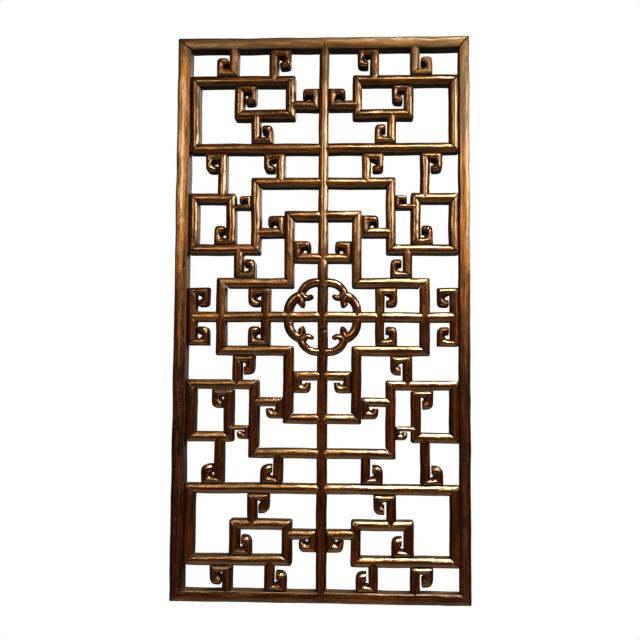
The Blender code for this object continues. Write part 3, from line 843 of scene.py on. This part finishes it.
# One dark colour for dirt and painted shade, one pale colour for dust and painted light
sootAndShade, dustAndTopLight = (0.0035, 0.002, 0.0012), (0.11, 0.08, 0.042)
grainSizes = {
    "streaks": (9, 230, 60), "fibres": (40, 1500, 400), "patches": (26, 210, 60),
    "clouds": 22.0, "specks": 420.0, "ragged": 300.0,
}
grainTones = (0.36, 0.5, 0.66)
grainShares = {"streaks": 0.55, "fibres": 0.25, "clouds": 0.2}
limits = {"specks": (0.62, 0.72), "edges": (0.74, 0.97), "patches": (0.42, 0.62), "litLedges": (0.5, 0.9)}
# Painted shade towards the bottom, darker and redder
lowShadeBand = {"starts": 0.3, "full": 0.68, "uneven": 0.25}  # places as shares of the height, from the top
reliefs = {"fibres": 0.5, "streaks": 1.0, "specks": 0.8, "nicks": 0.8, "bump": 0.42, "distance": 0.0008}
dirtAndShadeShares = {"specks": 0.6, "edges": 0.85, "sides": 0.6, "litLedges": 0.5, "ledgeLessDirtAndShade": 0.7}
roughening = {"fibres": 0.3, "tones": 0.35, "shadeAndDirt": 0.25}
gloss = {"specular": 0.8, "coat": 0.15, "coatRoughness": 0.1}
raggedReach = 0.001  # how far the outline of a mark is uneven
panelTop, panelBottom = cadBox[1].z, cadBox[0].z


def mixColour(tree, factor, a, b, blend="MIX"):
    made = addNode(tree, "ShaderNodeMix", data_type="RGBA", blend_type=blend)
    for socket, source in ((0, factor), (6, a), (7, b)):
        if isinstance(source, bpy.types.NodeSocket):
            tree.links.new(source, made.inputs[socket])
        else:
            made.inputs[socket].default_value = source if socket == 0 else (*source, 1)
    return made.outputs[2]


def ramp(tree, factor, stops):
    made = addNode(tree, "ShaderNodeValToRGB", {0: factor})
    elements = made.color_ramp.elements
    while len(elements) < len(stops):
        elements.new(0.5)
    for element, (place, colour) in zip(elements, stops):
        element.position = place
        element.color = (*colour, 1)
    return made.outputs[0]


def woodMaterial(name):
    look = woodLooks[name]
    material = bpy.data.materials.new(name)
    material.use_nodes = True
    tree = material.node_tree
    shader = tree.nodes["Principled BSDF"]
    grainAt = addNode(tree, "ShaderNodeAttribute", attribute_name="grain").outputs["Vector"]
    grime = addNode(tree, "ShaderNodeAttribute", attribute_name="grime").outputs["Fac"]
    side = addNode(tree, "ShaderNodeAttribute", attribute_name="side").outputs["Fac"]
    turn = addNode(tree, "ShaderNodeAttribute", attribute_name="turn").outputs["Fac"]
    turn = calc(tree, "ABSOLUTE", turn)
    place = addNode(tree, "ShaderNodeTexCoord").outputs["Object"]

    streaks = perAxis(tree, grainAt, grainSizes["streaks"])
    streaks = noise(tree, streaks, 1.0, 3.0, 0.6, 0.4).outputs[0]
    fibres = perAxis(tree, grainAt, grainSizes["fibres"])
    fibres = noise(tree, fibres, 1.0, 2.0, 0.6).outputs[0]
    clouds = noise(tree, place, grainSizes["clouds"], 4.0, 0.6).outputs[0]
    mixed = times(tree, streaks, grainShares["streaks"])
    mixed = add(tree, mixed, times(tree, fibres, grainShares["fibres"]))
    mixed = add(tree, mixed, times(tree, clouds, grainShares["clouds"]))
    colours = (look["dark"], look["middle"], look["light"])
    colour = ramp(tree, mixed, list(zip(grainTones, colours)))

    # Painted shade: towards the bottom the wood is darker and redder, by height
    height = addNode(tree, "ShaderNodeSeparateXYZ", {0: place}).outputs[2]
    uneven = add(tree, height, times(tree, minus(tree, clouds, 0.5), lowShadeBand["uneven"]))
    places = [lerp(panelTop, panelBottom, lowShadeBand[key]) for key in ("starts", "full")]
    low = ranged(tree, uneven, *places)
    colour = mixColour(tree, low, colour, mixColour(tree, 1.0, colour, look["lowShadeTone"], "MULTIPLY"))

    dull = 0.0
    if name == "frameWood":
        across, deep = (addNode(tree, "ShaderNodeSeparateXYZ", {0: place}).outputs[i] for i in (0, 2))
        for tone in tones.values():
            share = times(tree, ranged(tree, across, *tone["x"]), ranged(tree, deep, *tone["z"]))
            share = times(tree, share, ranged(tree, mixed, 0.35, 0.6, 0.5, 1.0))
            share = times(tree, share, tone["share"])
            colour = mixColour(tree, share, colour, tone["colour"])
            dull = larger(tree, dull, share)

    # Hands have polished the ridges; painted shade darkens the joints, the rolled edges and the sides
    crest = ranged(tree, turn, 0.0, 0.75, 1.0, 0.0)
    rubbed = perAxis(tree, grainAt, grainSizes["patches"])
    patches = ranged(tree, noise(tree, rubbed, 1.0, 3.0, 0.6).outputs[0], *limits["patches"])
    worn = times(tree, times(tree, crest, patches), look["worn"])
    # The rubbed patches fade towards the bottom, with the painted shade there
    worn = times(tree, worn, ranged(tree, low, 0.0, 1.0, 1.0, 0.3))
    colour = mixColour(tree, worn, colour, look["light"])
    specks = noise(tree, place, grainSizes["specks"], 2.0, 0.6).outputs[0]
    specks = ranged(tree, specks, *limits["specks"])
    # Dark specks are dirt; the edges, joints and sides below add painted shade
    dirtAndShade = times(tree, specks, dirtAndShadeShares["specks"])
    # Painted shade along the rolled edges of the moulding
    edges = times(tree, ranged(tree, turn, *limits["edges"]), dirtAndShadeShares["edges"])
    # Painted shade in the joints
    shadeInJoints = times(tree, calc(tree, "POWER", grime, 1.6), ranged(tree, clouds, 0.35, 0.6, 0.8, 1.0))
    dirtAndShade = larger(tree, dirtAndShade, larger(tree, edges, shadeInJoints))
    dulled = dirtAndShade
    ragged = noise(tree, place, grainSizes["ragged"], 1.0).outputs[1]
    raggedPlace = shifted(tree, place, scaled(tree, ragged, 2 * raggedReach))
    nicks = 0.0
    for mark in marks:
        (x, z), reach = mark["at"], mark["reach"]
        off = vectorCalc(tree, "SUBTRACT", raggedPlace, (x + raggedReach, 0, z + raggedReach))
        away = vectorCalc(tree, "LENGTH", perAxis(tree, off, (1 / reach[0], 0, 1 / reach[1])))
        nicks = larger(tree, nicks, ranged(tree, away, 0.6, 1.1, mark["share"], 0.0))
    dirtAndShade = larger(tree, dirtAndShade, nicks)
    upward = addNode(tree, "ShaderNodeTexCoord").outputs["Normal"]
    upward = addNode(tree, "ShaderNodeSeparateXYZ", {0: upward}).outputs[2]
    # Up-facing sides are paler: dust, and painted light from above, which also takes off some painted shade
    ledge = times(tree, side, ranged(tree, upward, *limits["litLedges"]))
    # Painted shade down the sides and the back
    dirtAndShade = larger(tree, dirtAndShade, times(tree, side, dirtAndShadeShares["sides"]))
    dirtAndShade = times(tree, dirtAndShade, minus(tree, 1.0, times(tree, ledge, dirtAndShadeShares["ledgeLessDirtAndShade"])))
    colour = mixColour(tree, times(tree, ledge, dirtAndShadeShares["litLedges"]), colour, dustAndTopLight)
    colour = mixColour(tree, dirtAndShade, colour, sootAndShade)
    tree.links.new(colour, shader.inputs["Base Color"])

    rough = times(tree, minus(tree, fibres, 0.5), roughening["fibres"])
    rough = add(tree, look["roughness"], rough)
    rough = add(tree, rough, times(tree, dull, roughening["tones"]))
    rough = add(tree, rough, times(tree, dulled, roughening["shadeAndDirt"]), clamp=True)
    tree.links.new(rough, shader.inputs["Roughness"])
    relief = times(tree, fibres, reliefs["fibres"])
    relief = add(tree, relief, times(tree, streaks, reliefs["streaks"]))
    relief = minus(tree, relief, times(tree, specks, reliefs["specks"]))
    relief = minus(tree, relief, times(tree, nicks, reliefs["nicks"]))
    strength = reliefs["bump"] * look["fibre"]
    links = {"Strength": strength, "Distance": reliefs["distance"], "Height": relief}
    bump = addNode(tree, "ShaderNodeBump", links)
    tree.links.new(bump.outputs[0], shader.inputs["Normal"])
    shader.inputs["Specular IOR Level"].default_value = gloss["specular"]
    shader.inputs["Coat Weight"].default_value = gloss["coat"]
    shader.inputs["Coat Roughness"].default_value = gloss["coatRoughness"]
    shader.inputs["Specular Tint"].default_value = (*look["sheen"], 1)
    return material


woods = {name: woodMaterial(name) for name in woodLooks}
print("woods mixed:", len(woods))


def finishOf(name):
    if name.endswith("rail") or name.endswith("stile"):
        return "frameWood", "frame_wood"
    if name.endswith("scroll") or name == "ring":
        return "carvedWood", "carved_wood"
    return "stripWood", "strip_wood"


tree = mouldedStripTree()
sockets = {item.name: item.identifier for item in tree.interface.items_tree if item.in_out == "INPUT"}
triangles = 0
openPieces = []
for name, items in plans.items():
    wood, slotName = finishOf(name)
    piece = bpy.data.objects.new(name + "_moulded", planMesh(name, items))
    bpy.context.scene.collection.objects.link(piece)
    modifier = piece.modifiers.new("mouldedStrip", "NODES")
    modifier.node_group = tree
    for key, value in moulding.items():
        modifier[sockets[key]] = value
    modifier[sockets["Joint Lines"]] = lineObject
    modifier[sockets["Wood"]] = woods[wood]
    bpy.context.view_layer.update()
    mesh = bpy.data.meshes.new_from_object(piece.evaluated_get(bpy.context.evaluated_depsgraph_get()))
    piece.modifiers.clear()
    piece.data = mesh
    if tidyShell(mesh):
        openPieces.append(name)
    triangles += sum(len(face.vertices) - 2 for face in mesh.polygons)
    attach(piece, "root")
    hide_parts(name)
bpy.data.objects.remove(lineObject)
print("strips moulded:", len(plans), "triangles:", triangles, "open:", openPieces)


# Floor, light and camera
studio = {
    "floorDrop": 0.6, "floorReach": 3, "floorBack": 1.5, "floorColour": (0.8, 0.79, 0.77),
    "floorRoughness": 0.6, "floorGlow": 0.45, "glowColour": (1, 0.99, 0.97),
    "surround": 0.11, "warmth": (1, 0.82, 0.6),
}
floorMesh = bpy.data.meshes.new("floor")
floorZ = cadBox[0].z - studio["floorDrop"]
reach, behind = studio["floorReach"], studio["floorBack"]
corners = [(-reach, -reach), (reach, -reach), (reach, behind), (-reach, behind)]
floorMesh.from_pydata([(*corner, floorZ) for corner in corners], [], [(0, 1, 2, 3)])
floor = bpy.data.objects.new("floor", floorMesh)
bpy.context.scene.collection.objects.link(floor)
paleFloor = bpy.data.materials.new("paleFloor")
paleFloor.use_nodes = True
floorTree = paleFloor.node_tree
floorShader = floorTree.nodes["Principled BSDF"].inputs
floorShader["Base Color"].default_value = (*studio["floorColour"], 1)
floorShader["Roughness"].default_value = studio["floorRoughness"]
floorShader["Emission Color"].default_value = (*studio["glowColour"], 1)
# Only the camera sees the floor glow: it keeps the floor pale and sends no light to the panel
glow = addNode(floorTree, "ShaderNodeLightPath").outputs["Is Camera Ray"]
floorTree.links.new(times(floorTree, glow, studio["floorGlow"]), floorShader["Emission Strength"])
floorMesh.materials.append(paleFloor)

lamps = {
    "window": {
        "at": (0.95, -1.0, 0.1), "to": (0, 0, -0.25), "size": (0.5, 0.45),
        "watts": 6.4, "colour": (1, 0.93, 0.92), "spread": 100,
    },
    "above": {
        "at": (0.36, -1.2, 0.95), "to": (0, -0.3, -1.2), "size": (0.8, 0.4),
        "watts": 25, "colour": (1, 0.95, 0.84), "spread": 65,
    },
    "fill": {
        "at": (-0.55, -1.25, 0.1), "to": (-0.2, 0, -0.2), "size": (0.4, 0.45),
        "watts": 4.1, "colour": (1, 0.88, 0.7), "spread": 100,
    },
    "behind": {
        "at": (1.35, 1.4, 0.15), "to": (0, 0, -0.5), "size": (0.8, 0.8),
        "watts": 30, "colour": (0.97, 0.95, 1), "spread": 140,
    },
}
for name, lamp in lamps.items():
    data = bpy.data.lights.new(name, "AREA")
    data.shape = "RECTANGLE"
    data.size, data.size_y = lamp["size"]
    data.energy = lamp["watts"]
    data.color = lamp["colour"]
    data.spread = math.radians(lamp["spread"])
    lampObject = bpy.data.objects.new(name, data)
    lampObject.location = lamp["at"]
    aim = Vector(lamp["to"]) - Vector(lamp["at"])
    lampObject.rotation_euler = aim.to_track_quat("-Z", "Y").to_euler()
    bpy.context.scene.collection.objects.link(lampObject)

world = bpy.data.worlds.new("studio")
bpy.context.scene.world = world
world.use_nodes = True
sky = world.node_tree
background = sky.nodes["Background"]
seen = addNode(sky, "ShaderNodeLightPath").outputs["Is Camera Ray"]
sky.links.new(mixColour(sky, seen, studio["warmth"], (1, 1, 1)), background.inputs[0])
sky.links.new(ranged(sky, seen, 0, 1, studio["surround"], 1.0, smooth=False), background.inputs[1])

photoContrast = 0.68  # below 1 deepens the shadows, as in the photograph
photoCamera = {"at": (0.0775, -1.7105, -0.6019), "turn": (94.2137, -0.3917, 2.7482), "lens": 56.26}
sensorWidth = 36
cameraData = bpy.data.cameras.new("photoCamera")
cameraData.lens = photoCamera["lens"]
cameraData.sensor_width = sensorWidth
camera = bpy.data.objects.new("photoCamera", cameraData)
camera.location = photoCamera["at"]
camera.rotation_euler = [math.radians(angle) for angle in photoCamera["turn"]]
bpy.context.scene.collection.objects.link(camera)
bpy.context.scene.camera = camera
bpy.context.scene.view_settings.view_transform = "Standard"
bpy.context.scene.view_settings.gamma = photoContrast
print("studio ready")
